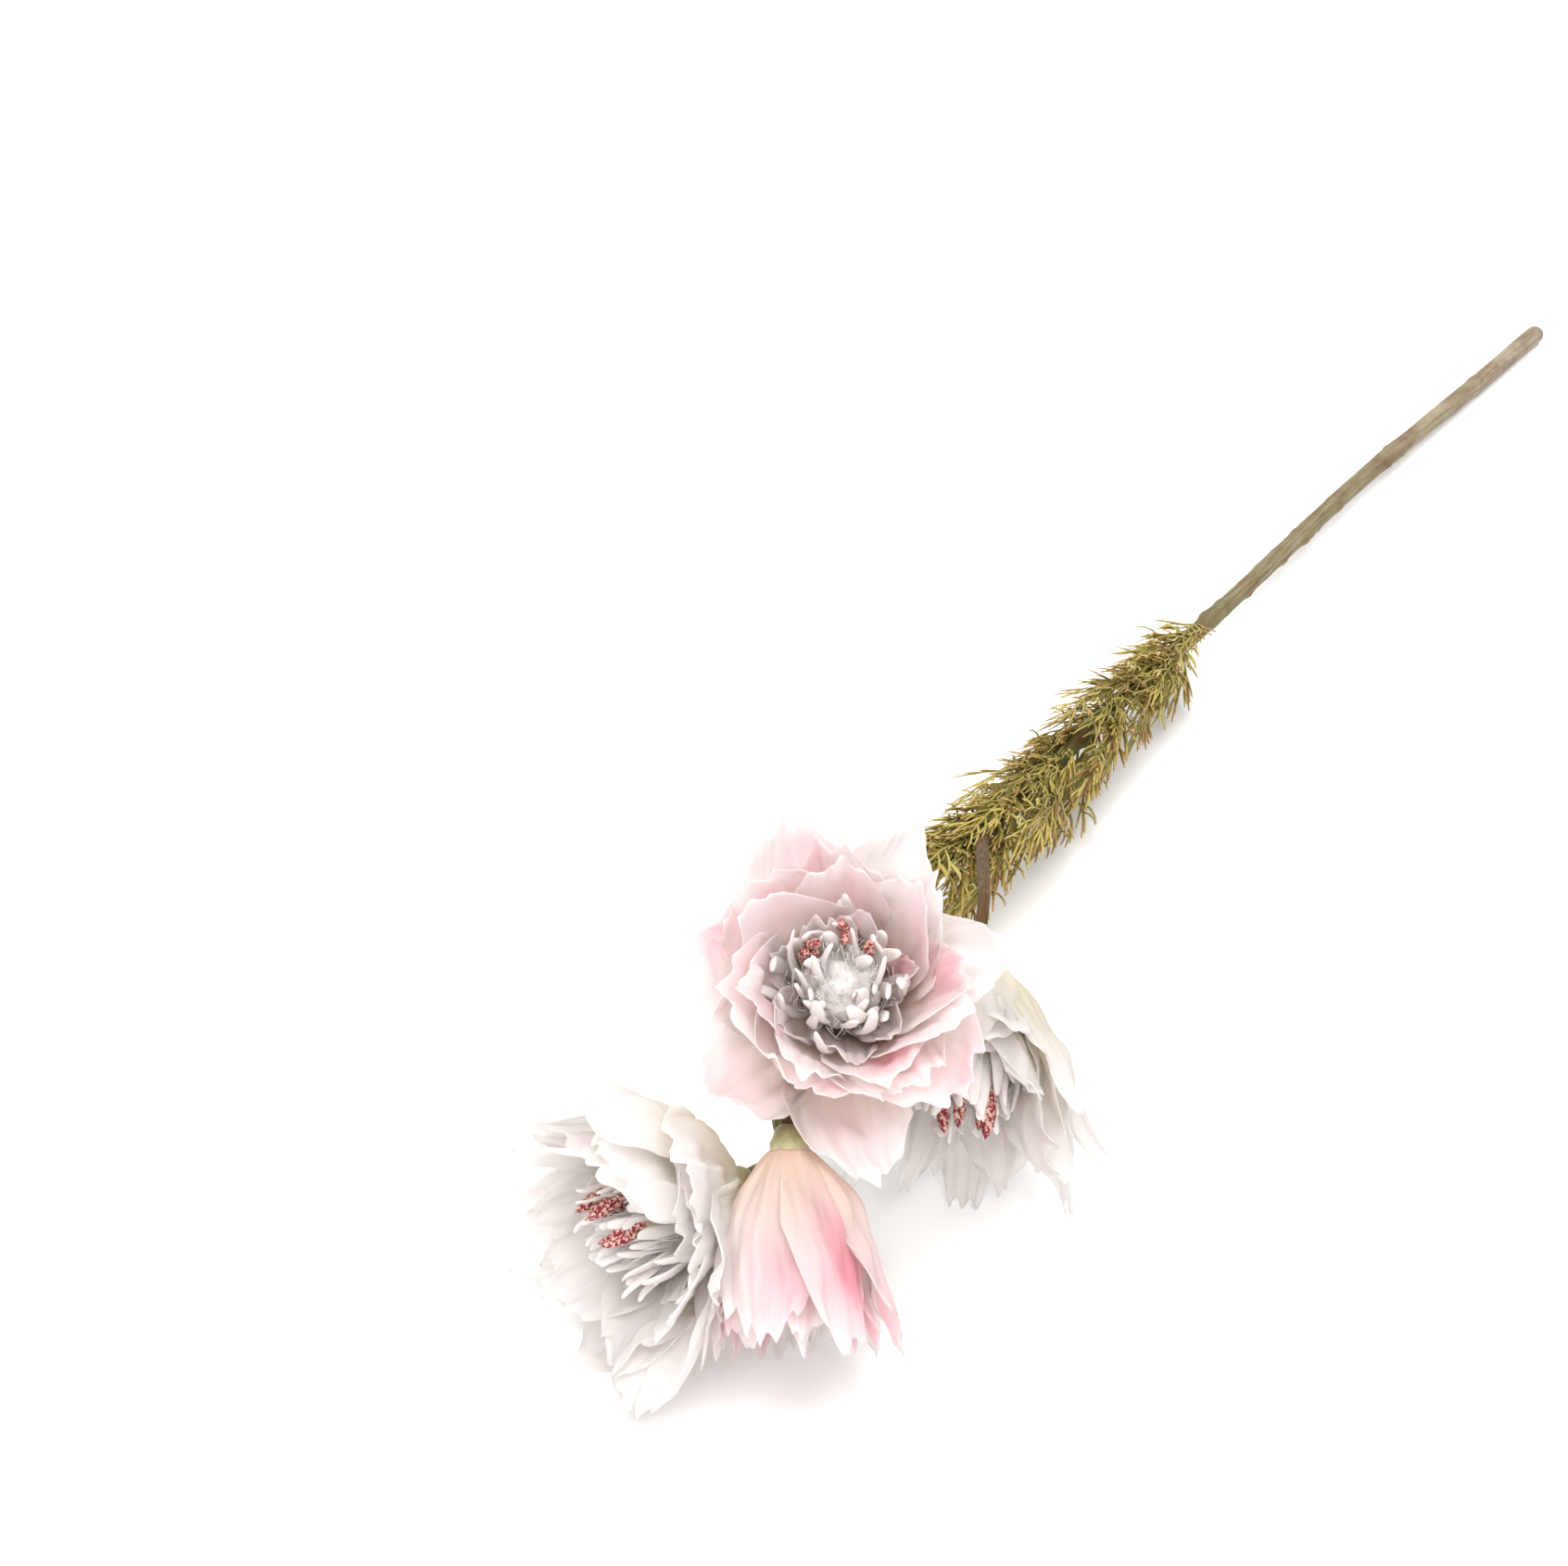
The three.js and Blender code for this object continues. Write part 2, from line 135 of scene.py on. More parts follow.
class FlowerHead:
    """Where a flower head's solids stand: its foot, its axis, its size and its bracts' openings."""

    def __init__(self, name):
        cup = corners(f"{name}_receptacle")
        centre = mean(cup)
        axis = (mean(corners(f"{name}_styles")) - centre).normalized()
        heights = [(point - centre).dot(axis) for point in cup]
        foot = centre + axis * min(heights)
        self.size = (max(heights) - min(heights)) / RECEPTACLE_HEIGHT
        first = mean(corners(f"{name}_outer_bract_1")) - foot
        x = (first - axis * first.dot(axis)).normalized()
        y = axis.cross(x)
        turn = Matrix((x, y, axis)).transposed().to_4x4()
        self.foot = foot
        self.matrix = Matrix.Translation(foot) @ turn @ Matrix.Scale(self.size, 4)
        self.inverse = self.matrix.inverted()

    def turned(self, angle):
        """The head's own frame, turned round its axis."""
        return self.matrix @ Matrix.Rotation(angle, 4, "Z")

    def curve(self, angle, profile, steps):
        """A smooth path through points of the head's own frame, turned round its axis."""
        spin = self.turned(angle)
        return [spin @ point for point in smooth_path([Vector(point) for point in profile], steps)]

    def reach(self, node, seat):
        """(length, opening) of the line from the bracts' foot to a solid's furthest corner."""
        tip = max((self.inverse @ point for point in corners(node)), key=lambda p: p.length)
        out = math.hypot(tip.x, tip.y) - BRACT_FOOT_RADIUS
        return math.hypot(out, tip.z - seat), math.atan2(out, tip.z - seat)

    def ring(self, node):
        """A solid's greatest radius round the head's axis."""
        local = (self.inverse @ point for point in corners(node))
        return max(math.hypot(point.x, point.y) for point in local)


# ---- Shapes ----


def smooth_path(points, steps):
    """Points at even parameter steps along a smooth curve through the given ones."""
    last = len(points) - 1
    path = []
    for step in range(steps + 1):
        place = step / steps * last
        i = min(int(place), last - 1)
        t = place - i
        a = points[max(i - 1, 0)]
        b = points[i]
        c = points[i + 1]
        d = points[min(i + 2, last)]
        path.append(
            0.5
            * (
                2 * b
                + (c - a) * t
                + (2 * a - 5 * b + 4 * c - d) * t * t
                + (3 * b - a - 3 * c + d) * t * t * t
            )
        )
    return path


def moving_frames(path, start_normal=Vector((0, 0, 1))):
    """(centre, normal, binormal) along a path, turning no more than the path does."""
    frames = []
    normal = start_normal
    for i, centre in enumerate(path):
        tangent = (path[min(i + 1, len(path) - 1)] - path[max(i - 1, 0)]).normalized()
        normal = normal - tangent * normal.dot(tangent)
        if normal.length < 1e-6:
            normal = tangent.orthogonal()
        normal.normalize()
        frames.append((centre, normal, tangent.cross(normal)))
    return frames


def add_rod(bm, frames, radius, sides, flat=1.0, mark=None):
    """A closed rod along moving frames. radius(share, turn) is its radius, flat thins it one way."""
    steps = len(frames) - 1
    rows = steps + 2
    verts = bmesh.ops.create_grid(bm, x_segments=sides, y_segments=rows, size=1)["verts"]
    for vertex in verts:
        turn = (vertex.co.x + 1) * math.pi
        row = round((vertex.co.y + 1) / 2 * rows)
        step = min(max(row - 1, 0), steps)
        share = step / steps
        reach = 0 if row in (0, rows) else radius(share, turn)
        centre, normal, binormal = frames[step]
        vertex.co = centre + normal * math.cos(turn) * reach * flat + binormal * math.sin(turn) * reach
        if mark:
            mark(vertex, share, turn)
    bmesh.ops.remove_doubles(bm, verts=verts, dist=1e-7)


def mark_along(layers, scale=1.0):
    """A mark for add_rod that writes how far along the rod each vertex is."""

    def mark(vertex, share, around):
        vertex[layers["along"]] = share * scale

    return mark


def bezier(a, b, c, d, t):
    """(point, direction) of a cubic curve at t."""
    s = 1 - t
    point = a * s**3 + b * 3 * s * s * t + c * 3 * s * t * t + d * t**3
    direction = (b - a) * s * s + (c - b) * 2 * s * t + (d - c) * t * t
    return point, direction.normalized()


def from_axis(angle):
    """A direction in a head's outward and upward plane, at an angle from its axis."""
    return Vector((math.sin(angle), math.cos(angle)))


def ragged_tip(rng, count, depth, point):
    """How far a bract reaches at each place across it: a rounded end with a few sharp teeth."""
    spacing = 1.8 / count
    peaks = [-0.9 + spacing * (i + 0.5) + rng.uniform(-0.25, 0.25) * spacing for i in range(count)]
    drops = [rng.uniform(0, depth * 0.6) for _ in peaks]

    def reach(side):
        rounded = 1 - point * abs(side) ** 1.7
        teeth = min(
            drop + depth * min(abs(side - peak) / spacing * 2, 1.6) ** 0.85
            for peak, drop in zip(peaks, drops)
        )
        return rounded - teeth

    return reach


def add_bract(bm, layers, place, rng, shape):
    """One thin bract with a cupped foot, ruffled margins and a ragged tip."""
    across, along = shape["segments"]
    length = shape["length"]
    opening = shape["opening"]
    foot = Vector((BRACT_FOOT_RADIUS, shape["seat"]))
    tip = foot + from_axis(opening) * length
    root_handle = foot + from_axis(opening + shape["root"]) * length * BRACT_HANDLE
    tip_handle = tip - from_axis(opening + shape["flare"]) * length * BRACT_HANDLE
    reach = ragged_tip(rng, shape["teeth"], shape["notch"], shape["point"])
    seed = Vector((rng.uniform(0, 90), rng.uniform(0, 90), 0))
    phase = rng.uniform(0, math.tau)
    tone = rng.random()
    sway = rng.uniform(-1, 1) * shape["sway"]
    tilt = shape["tilt"]
    blush = shape["blush"] * rng.choice((0.0, 0.15, 0.6, 1.4))
    blush_side = rng.uniform(-0.6, 0.6)
    blush_place = rng.uniform(0.5, 0.8)

    verts = bmesh.ops.create_grid(bm, x_segments=across, y_segments=along, size=1)["verts"]
    for vertex in verts:
        side = vertex.co.x
        row = (vertex.co.y + 1) / 2
        end = reach(side) * (1 + 0.03 * noise.noise(seed + Vector((side * 9, 3, 3))))
        share = row * end
        half = shape["width"] / 2 * broad_outline(share)
        spot, direction = bezier(foot, root_handle, tip_handle, tip, share)
        arc = max(shape["cup"] * (1 - 0.45 * share), 0.05)
        sideways = half * math.sin(side * arc) / arc
        outward = -half * (1 - math.cos(side * arc)) / arc
        outward += tilt * side * half * min(share * 3, 1)
        loose = share * share
        wave = math.sin(share * 9 + phase + side * 1.7) * abs(side) ** 1.5
        outward += shape["ruffle"] * loose * wave
        crumple = noise.noise(seed + Vector((side * 1.3, share * 2.6, 0)))
        outward += shape["crumple"] * min(share * 3, 1) * crumple
        pleat = noise.noise(seed + Vector((side * 7.5, share * 1.4, 5)))
        outward += shape["pleat"] * min(share * 4, 1) * pleat
        wrinkle = noise.noise(seed + Vector((side * 3.2, share * 5.5, 9)))
        outward += shape["wrinkle"] * min(share * 2, 1) * wrinkle
        sideways += half * 0.08 * crumple * loose
        flat = Vector(
            (
                spot.x + direction.y * outward,
                sideways,
                spot.y - direction.x * outward,
            )
        )
        flat.rotate(Matrix.Rotation(sway * loose, 3, "Z"))
        vertex.co = place @ flat
        vertex.co.z = max(vertex.co.z, LEAST_HEIGHT * (1 + 0.6 * abs(crumple)))
        off = ((share - blush_place) / BLUSH_LENGTH) ** 2 + ((side - blush_side) / BLUSH_WIDTH) ** 2
        vertex[layers["along"]] = share
        vertex[layers["across"]] = side
        # The margin value is the mask of the painted rim highlight.
        vertex[layers["margin"]] = max(abs(side), 1 - (end - share) * MARGIN_SHARPNESS)
        vertex[layers["blush"]] = blush * math.exp(-off)
        vertex[layers["tone"]] = tone


def broad_outline(share):
    """A broad bract: narrow at the foot, widest above the middle."""
    return max(math.sin(math.pi * (0.07 + 0.78 * share**0.95)), 0) ** 0.85


def new_mesh():
    """A bmesh and the vertex values that its material reads."""
    bm = bmesh.new()
    names = ("along", "across", "margin", "blush", "tone")
    return bm, {name: bm.verts.layers.float.new(name) for name in names}


def finish_piece(bm, name, material, slot, *nodes):
    """Makes a piece of a bmesh. It stands for the given solids and keeps their place."""
    bm.normal_update()
    mesh = bpy.data.meshes.new(name)
    bm.to_mesh(mesh)
    bm.free()
    mesh.shade_smooth()
    mesh.materials.append(material)
    piece = bpy.data.objects.new(name, mesh)
    bpy.context.scene.collection.objects.link(piece)
    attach(piece, "root")
    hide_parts(*nodes)
    return piece


def thicken(piece, thickness):
    """Gives a thin piece its thickness, half to each side."""
    skin = piece.modifiers.new("Thickness", "SOLIDIFY")
    skin.thickness = thickness
    skin.offset = 0


# ---- Materials ----


class Surface:
    """A material under construction, with one Principled shader."""

    def __init__(self, name, **sockets):
        self.material = bpy.data.materials.new(name)
        self.material.use_nodes = True
        self.tree = self.material.node_tree
        self.shader = self.tree.nodes["Principled BSDF"]
        for key, value in sockets.items():
            self.shader.inputs[key.replace("_", " ").title().replace("Ior", "IOR")].default_value = value

    def node(self, kind, inputs=None, **settings):
        """A new node. Each of its inputs is a value or the socket that feeds it."""
        made = self.tree.nodes.new(kind)
        for key, value in settings.items():
            setattr(made, key, value)
        for key, source in (inputs or {}).items():
            if isinstance(source, bpy.types.NodeSocket):
                self.link(source, made.inputs[key])
            else:
                made.inputs[key].default_value = source
        return made

    def link(self, source, target):
        self.tree.links.new(source, target)

    def value(self, name):
        """A number that the mesh carries."""
        return self.node("ShaderNodeAttribute", attribute_name=name).outputs["Fac"]

    def object_place(self):
        return self.node("ShaderNodeTexCoord").outputs["Object"]

    def vector(self, x, y, z):
        return self.node("ShaderNodeCombineXYZ", {0: x, 1: y, 2: z}).outputs[0]

    def stretched(self, vector, scale):
        return self.node("ShaderNodeMapping", {"Scale": scale, "Vector": vector}).outputs[0]

    def grain(self, vector, scale, detail=4.0, roughness=0.55):
        inputs = {"Scale": scale, "Detail": detail, "Roughness": roughness, "Vector": vector}
        return self.node("ShaderNodeTexNoise", inputs).outputs["Fac"]

    def ramp(self, factor, *stops):
        """A colour for each value of factor: stops are (place, colour)."""
        made = self.node("ShaderNodeValToRGB", {0: factor})
        points = made.color_ramp.elements
        while len(points) < len(stops):
            points.new(0.5)
        for point, (place, colour) in zip(points, stops):
            point.position = place
            point.color = (*colour, 1)
        return made.outputs[0]

    def mixed(self, factor, first, second, blend="MIX"):
        inputs = {0: factor, 6: first, 7: second}
        for key in (6, 7):
            if not isinstance(inputs[key], bpy.types.NodeSocket):
                inputs[key] = (*inputs[key], 1)
        return self.node("ShaderNodeMix", inputs, data_type="RGBA", blend_type=blend).outputs[2]

    def span(self, source, low, high, to_low=0.0, to_high=1.0):
        inputs = {"Value": source, "From Min": low, "From Max": high, "To Min": to_low, "To Max": to_high}
        return self.node("ShaderNodeMapRange", inputs).outputs[0]

    def maths(self, operation, first, second):
        return self.node("ShaderNodeMath", {0: first, 1: second}, operation=operation).outputs[0]

    def bump(self, height, strength, distance):
        """Roughens the surface, on top of any bumps that it has already."""
        normal = self.shader.inputs["Normal"]
        inputs = {"Strength": strength, "Distance": distance, "Height": height}
        if normal.is_linked:
            inputs["Normal"] = normal.links[0].from_socket
        self.link(self.node("ShaderNodeBump", inputs).outputs[0], normal)

    def colour(self, source):
        self.link(source, self.shader.inputs["Base Color"])

    def thin(self, source, share, warmth):
        """Colours thin tissue, which lets a share of the light through, a little warmer."""
        self.colour(source)
        glow = self.node("ShaderNodeBsdfTranslucent", {"Color": self.mixed(1.0, source, warmth, "MULTIPLY")})
        both = {"Fac": share, 1: self.shader.outputs[0], 2: glow.outputs[0]}
        output = self.tree.nodes["Material Output"].inputs["Surface"]
        self.link(self.node("ShaderNodeMixShader", both).outputs[0], output)


def bract_surface(name, looks, white, foot):
    """Silky, veined bract: cream-green foot deepened with painted warm shade, white blade with a painted
    highlight whitening its thin margins, pink blush.
    """
    made = Surface(name, roughness=0.5, sheen_weight=0.15, sheen_roughness=0.4)
    along = made.value("along")
    across = made.value("across")
    tone = made.value("tone")
    veins_place = made.stretched(made.vector(across, along, tone), (14, 1.6, 20))
    veins = made.grain(veins_place, 3.0, 5.0, 0.6)
    cells = made.grain(made.object_place(), 220.0, 3.0)
    halfway = [0.5 * (a + b) for a, b in zip(foot, white)]
    # The foot colour is the bract's own pale tint, deepened and carried up the blade as painted warm shade in
    # the cup.
    blade = made.ramp(along, (0.0, foot), (0.28, halfway), (0.6, white), (1.0, white))
    shaded = made.mixed(made.span(veins, 0.35, 0.7, 0, 0.4), blade, looks.vein_colour, "MULTIPLY")
    blush = made.maths("MULTIPLY", made.value("blush"), made.span(veins, 0.3, 0.65, 0.7, 1.25))
    pink = made.mixed(blush, shaded, looks.blush_colour)
    # Painted highlight: the thin margins are whitened, clearing veins and blush, to stand for light caught
    # along the rims.
    painted_rim_highlight = made.span(made.value("margin"), 0.93, 1.0, 0, 0.55)
    tint = made.mixed(painted_rim_highlight, pink, white)
    made.thin(tint, 0.7, looks.glow_colour)
    made.bump(veins, 0.35, 0.25 * MM)
    made.bump(cells, 0.12, 0.1 * MM)
    return made.material


def floret_surface(looks):
    """Blunt woolly fingers: peach at the foot, their own tint deepened with painted warm shade deep in the
    head, white toward the tip.
    """
    made = Surface("Woolly floret", roughness=0.75, sheen_weight=0.4)
    along = made.value("along")
    wool = made.grain(made.object_place(), 900.0)
    # The peach foot is the fingers' own tint deepened with painted warm shade deep in the head.
    tint = made.ramp(
        along,
        (0.0, looks.floret_foot_colour),
        (0.45, looks.floret_colour),
        (0.8, looks.floret_colour),
        (1.0, (0.98, 0.97, 0.96)),
    )
    shade = made.mixed(made.span(wool, 0.3, 0.7, 0, 0.25), tint, (0.97, 0.93, 0.91), "MULTIPLY")
    made.thin(shade, 0.25, (1.0, 0.98, 0.96))
    made.bump(wool, 0.25, 0.1 * MM)
    return made.material


def style_surface(looks):
    """Tan threads whose swollen tips are speckled with dark red."""
    made = Surface("Speckled style", roughness=0.6)
    along = made.value("along")
    speckle = made.grain(made.object_place(), 1500.0, 2.0, 0.7)
    thread = made.ramp(
        along,
        (0.0, (0.95, 0.85, 0.7)),
        (0.6, looks.style_colour),
        (0.8, (0.93, 0.68, 0.55)),
        (1.0, (0.9, 0.6, 0.5)),
    )
    spots = made.span(speckle, 0.46, 0.52)
    tip = made.span(along, 0.6, 0.7)
    tint = made.mixed(made.maths("MULTIPLY", spots, tip), thread, looks.speckle_colour)
    made.thin(tint, 0.35, (1.0, 0.95, 0.85))
    made.bump(speckle, 0.6, 0.25 * MM)
    return made.material


def hair_surface():
    """Fine silk: warm at the foot, its own tint deepened with painted warm shade deep in the head, nearly
    white at the tip.
    """
    made = Surface("Silky hair", roughness=0.5, sheen_weight=0.3)
    # The warm foot is the hairs' own tint deepened with painted warm shade deep in the head.
    stops = [(0.0, (0.97, 0.82, 0.7)), (0.5, (0.985, 0.94, 0.9)), (1.0, (0.97, 0.96, 0.97))]
    shade = made.ramp(made.value("along"), *stops)
    flecks = made.grain(made.object_place(), 600.0)
    tint = made.mixed(made.span(flecks, 0.3, 0.7, 0, 0.2), shade, (0.96, 0.94, 0.93), "MULTIPLY")
    made.thin(tint, 0.25, (1.0, 0.98, 0.95))
    return made.material


def calyx_surface():
    """The swollen end of a stalk under a head: green going to brown, finely furred."""
    sockets = {"subsurface_weight": 0.2, "subsurface_scale": 0.8 * MM, "sheen_weight": 0.4}
    made = Surface("Furred calyx", roughness=0.7, **sockets)
    along = made.value("along")
    fur = made.grain(made.object_place(), 700.0, 5.0)
    tint = made.ramp(
        along,
        (0.0, (0.17, 0.1, 0.04)),
        (0.2, (0.3, 0.27, 0.11)),
        (0.45, (0.62, 0.6, 0.38)),
        (0.8, (0.9, 0.87, 0.74)),
    )
    made.colour(made.mixed(made.span(fur, 0.35, 0.65, 0, 0.5), tint, (0.6, 0.5, 0.35), "MULTIPLY"))
    made.bump(fur, 0.5, 0.25 * MM)
    return made.material


def bark_surface(looks):
    """Bark: grey-tan at the cut, brown on the bare length, dark olive green among the leaves."""
    made = Surface("Olive bark", roughness=0.62, specular_ior_level=0.2)
    along = made.value("along")
    around = made.stretched(made.vector(made.value("across"), made.value("margin"), along), (1, 1, 9))
    streaks = made.grain(around, 3.0, 6.0, 0.65)
    blotches = made.grain(made.object_place(), 90.0, 4.0)
    tint = made.ramp(
        along,
        (0.0, (0.5, 0.43, 0.33)),
        (0.16, (0.42, 0.36, 0.25)),
        (0.28, looks.bare_colour),
        (0.42, looks.bare_colour),
        (0.54, looks.green_colour),
        (1.0, looks.green_colour),
    )
    aged = made.mixed(made.span(blotches, 0.42, 0.66, 0, 0.7), tint, looks.brown_colour)
    aged = made.mixed(made.maths("MULTIPLY", made.value("tone"), 0.8), aged, looks.stalk_colour)
    made.colour(made.mixed(made.span(streaks, 0.35, 0.65, 0, 0.75), aged, (0.42, 0.36, 0.3), "MULTIPLY"))
    made.link(made.span(streaks, 0.3, 0.7, 0.5, 0.8), made.shader.inputs["Roughness"])
    made.bump(streaks, 0.7, 0.35 * MM)
    made.bump(blotches, 0.3, 0.3 * MM)
    return made.material


def leaf_surface(looks):
    """Needles: olive green with yellow-green flanks and reddish brown tips."""
    made = Surface("Olive needle", roughness=0.48, subsurface_weight=0.25, subsurface_scale=0.7 * MM)
    along = made.value("along")
    tone = made.value("tone")
    mottle = made.grain(made.object_place(), 160.0, 3.0)
    green = made.mixed(tone, looks.needle_colour, looks.young_colour)
    dry = made.maths("MULTIPLY", made.span(along, 0.35, 1.0), made.span(mottle, 0.38, 0.62))
    weathered = made.maths("MULTIPLY", dry, made.span(tone, 0.0, 0.8, 1.0, 0.45))
    made.colour(made.mixed(weathered, green, looks.tip_colour))
    made.bump(mottle, 0.3, 0.15 * MM)
    return made.material


def floor_surface(looks):
    """A pale matt floor, very faintly clouded."""
    made = Surface("Pale floor", roughness=0.9, specular_ior_level=0.0)
    cloud = made.grain(made.object_place(), 3.0, 2.0)
    pale = tuple(looks.floor_colour)
    dim = tuple(0.985 * value for value in pale)
    made.colour(made.mixed(made.span(cloud, 0.35, 0.65), pale, dim))
    return made.material


# ---- Settings ----


def colour(name, description, default):
    return FloatVectorProperty(
        name=name, description=description, default=default, subtype="COLOR", size=3, min=0, max=1
    )


def amount(name, description, default, least=0, **more):
    return FloatProperty(name=name, description=description, default=default, min=least, **more)


def size(name, description, default):
    return amount(name, description, default, unit="LENGTH")


def how_many(name, description, default, least):
    return IntProperty(name=name, description=description, default=default, min=least)


class ProteaBractSettings(bpy.types.PropertyGroup):
    outer_width: size("Outer width", "Width of an outer bract", 28 * MM)
    middle_width: size("Middle width", "Width of a middle bract", 21 * MM)
    inner_width: size("Inner width", "Width of an inner bract", 12 * MM)
    inner_length: size("Inner length", "Length of an inner bract", 22 * MM)
    thickness: size("Thickness", "Thickness of a bract", 0.22 * MM)
    ruffle: size("Ruffle", "How far the margins wave", 1.3 * MM)
    white_colour: colour("White", "Blade of the white bracts", (0.965, 0.965, 0.975))
    warm_colour: colour("Warm white", "Blade of the blushing bracts", (0.975, 0.955, 0.97))
    # Both foot colours are the bracts' own pale tint, deepened as painted warm shade where the feet lie in
    # the cup.
    foot_colour: colour("Foot", "Foot of the white bracts", (0.985, 0.955, 0.8))
    peach_colour: colour("Peach foot", "Foot of the blushing bracts", (0.99, 0.88, 0.79))
    vein_colour: colour("Veins", "Shade of the veins", (0.92, 0.9, 0.92))
    glow_colour: colour("Glow", "Tint of the light that comes through a bract", (1.0, 0.976, 0.937))
    blush_colour: colour("Blush", "Pink of the blush", (0.98, 0.6, 0.68))


class ProteaCentreSettings(bpy.types.PropertyGroup):
    florets: how_many("Florets", "Fingers in each ring", 12, 3)
    floret_length: size("Floret length", "Length of a finger", 23 * MM)
    floret_radius: size("Floret radius", "Half the width of a finger", 1.4 * MM)
    style_radius: size("Style radius", "Half the width of a style's thread", 0.35 * MM)
    styles: how_many("Styles", "Speckled styles in each head", 12, 1)
    hairs: how_many("Hairs", "Silky hairs round the florets", 300, 0)
    floret_colour: colour("Floret", "Upper part of a finger", (0.995, 0.955, 0.93))
    # The floret foot's peach is the fingers' own tint deepened with painted warm shade deep in the head.
    floret_foot_colour: colour("Floret foot", "Foot of a finger", (0.99, 0.83, 0.72))
    style_colour: colour("Style", "Thread of a style", (0.95, 0.78, 0.6))
    speckle_colour: colour("Speckle", "Specks on a style's tip", (0.32, 0.02, 0.04))


class ProteaStemSettings(bpy.types.PropertyGroup):
    scars: how_many("Scars", "Leaf scars along the stem", 26, 0)
    scar_height: size("Scar height", "How far a scar stands out", 0.55 * MM)
    bare_colour: colour("Bare bark", "Bark of the bare length", (0.3, 0.255, 0.15))
    brown_colour: colour("Brown bark", "Blotches on the bark", (0.2, 0.1, 0.045))
    stalk_colour: colour("Stalk bark", "Bark of the side stalks", (0.12, 0.06, 0.022))
    green_colour: colour("Green bark", "Bark among the leaves", (0.14, 0.15, 0.045))


class ProteaLeafSettings(bpy.types.PropertyGroup):
    sprigs: how_many("Sprigs", "Sprigs of needles on a leaf", 7, 1)
    pairs: how_many("Pairs", "Pairs of needles on a sprig", 7, 2)
    needle_length: size("Needle length", "Length of the longest needles", 15 * MM)
    needle_radius: size("Needle radius", "Half the thickness of a needle", 0.3 * MM)
    needle_colour: colour("Needle", "Old needles", (0.24, 0.21, 0.045))
    young_colour: colour("Young needle", "Young needles", (0.56, 0.47, 0.12))
    tip_colour: colour("Needle tip", "Dry tips", (0.42, 0.2, 0.1))


class ProteaStageSettings(bpy.types.PropertyGroup):
    floor_side: size("Floor side", "Side of the floor", 6.0)
    floor_colour: colour("Floor", "Floor", (0.99, 0.99, 0.99))
    sky: amount("Sky", "Strength of the light from all round", 0.8)
    key_power: amount("Key", "Power of the large soft light", 6.0, unit="POWER")
    lens: amount("Lens", "Focal length in millimetres", 63.83, 1)
    distance: size("Distance", "From the camera to the point it looks at", 640 * MM)
    turn: amount("Turn", "Camera's turn round the spray", math.radians(32), -math.tau, subtype="ANGLE")
    height: amount("Height", "Camera's angle above the floor", math.radians(35), subtype="ANGLE")
    aim: FloatVectorProperty(
        name="Aim",
        description="The point it looks at",
        default=(-0.0844, -0.0655, 0.0),
        subtype="TRANSLATION",
    )


# ---- Operators ----

# What sets the heads apart: their bracts' length, splay, width, pointedness and blush, and the
# side, in degrees round the axis, on which shorter bracts show the centre.
TRAITS = ("length", "splay", "width", "point", "blush", "gap", "bare")
LOOKS = {
    "top_head": dict(zip(TRAITS, (0.98, 1.06, 1.0, 0.24, 0.42, 0, 0.0))),
    "left_head": dict(zip(TRAITS, (1.08, 1.16, 1.0, 0.2, 0.02, 129, 0.3))),
    "front_head": dict(zip(TRAITS, (1.0, 1.1, 0.76, 0.36, 0.95, 0, 0.0))),
    "right_head": dict(zip(TRAITS, (1.06, 1.24, 0.85, 0.36, 0.02, 165, 0.5))),
}

# What sets the rows apart: how a bract is divided, how it curves, and how far it is bent out of
# shape. Flare is in degrees, and ruffle is a share of the set one.
OUTER_BRACT = {
    "segments": (30, 38),
    "root": math.radians(30),
    "flare": (-18, 22),
    "cup": 0.95,
    "teeth": (3, 4, 4, 5),
    "sway": 0.2,
    "tilt": (0.05, 0.25),
    "ruffle": 1.0,
    "crumple": 2.8 * MM,
    "pleat": 0.9 * MM,
    "wrinkle": 1.6 * MM,
}
INNER_BRACT = {
    "segments": (22, 30),
    "root": math.radians(20),
    "flare": (-16, 6),
    "cup": 0.8,
    "teeth": (2, 3, 3),
    "sway": 0.25,
    "tilt": (0.05, 0.3),
    "ruffle": 0.7,
    "crumple": 1.8 * MM,
    "pleat": 0.4 * MM,
    "wrinkle": 1.0 * MM,
}


def bract_shape(kind, looks, look, rng, length, width, opening):
    """The shape of one bract of a kind, with its own chance tip and bend."""
    return {
        **kind,
        "length": length,
        "width": width,
        "opening": opening,
        "flare": math.radians(rng.uniform(*kind["flare"])),
        "teeth": rng.choice(kind["teeth"]),
        "notch": rng.uniform(0.05, 0.12),
        "point": rng.uniform(0.6, 1.6) * look["point"],
        "tilt": rng.uniform(*kind["tilt"]),
        "ruffle": looks.ruffle * kind["ruffle"],
    }


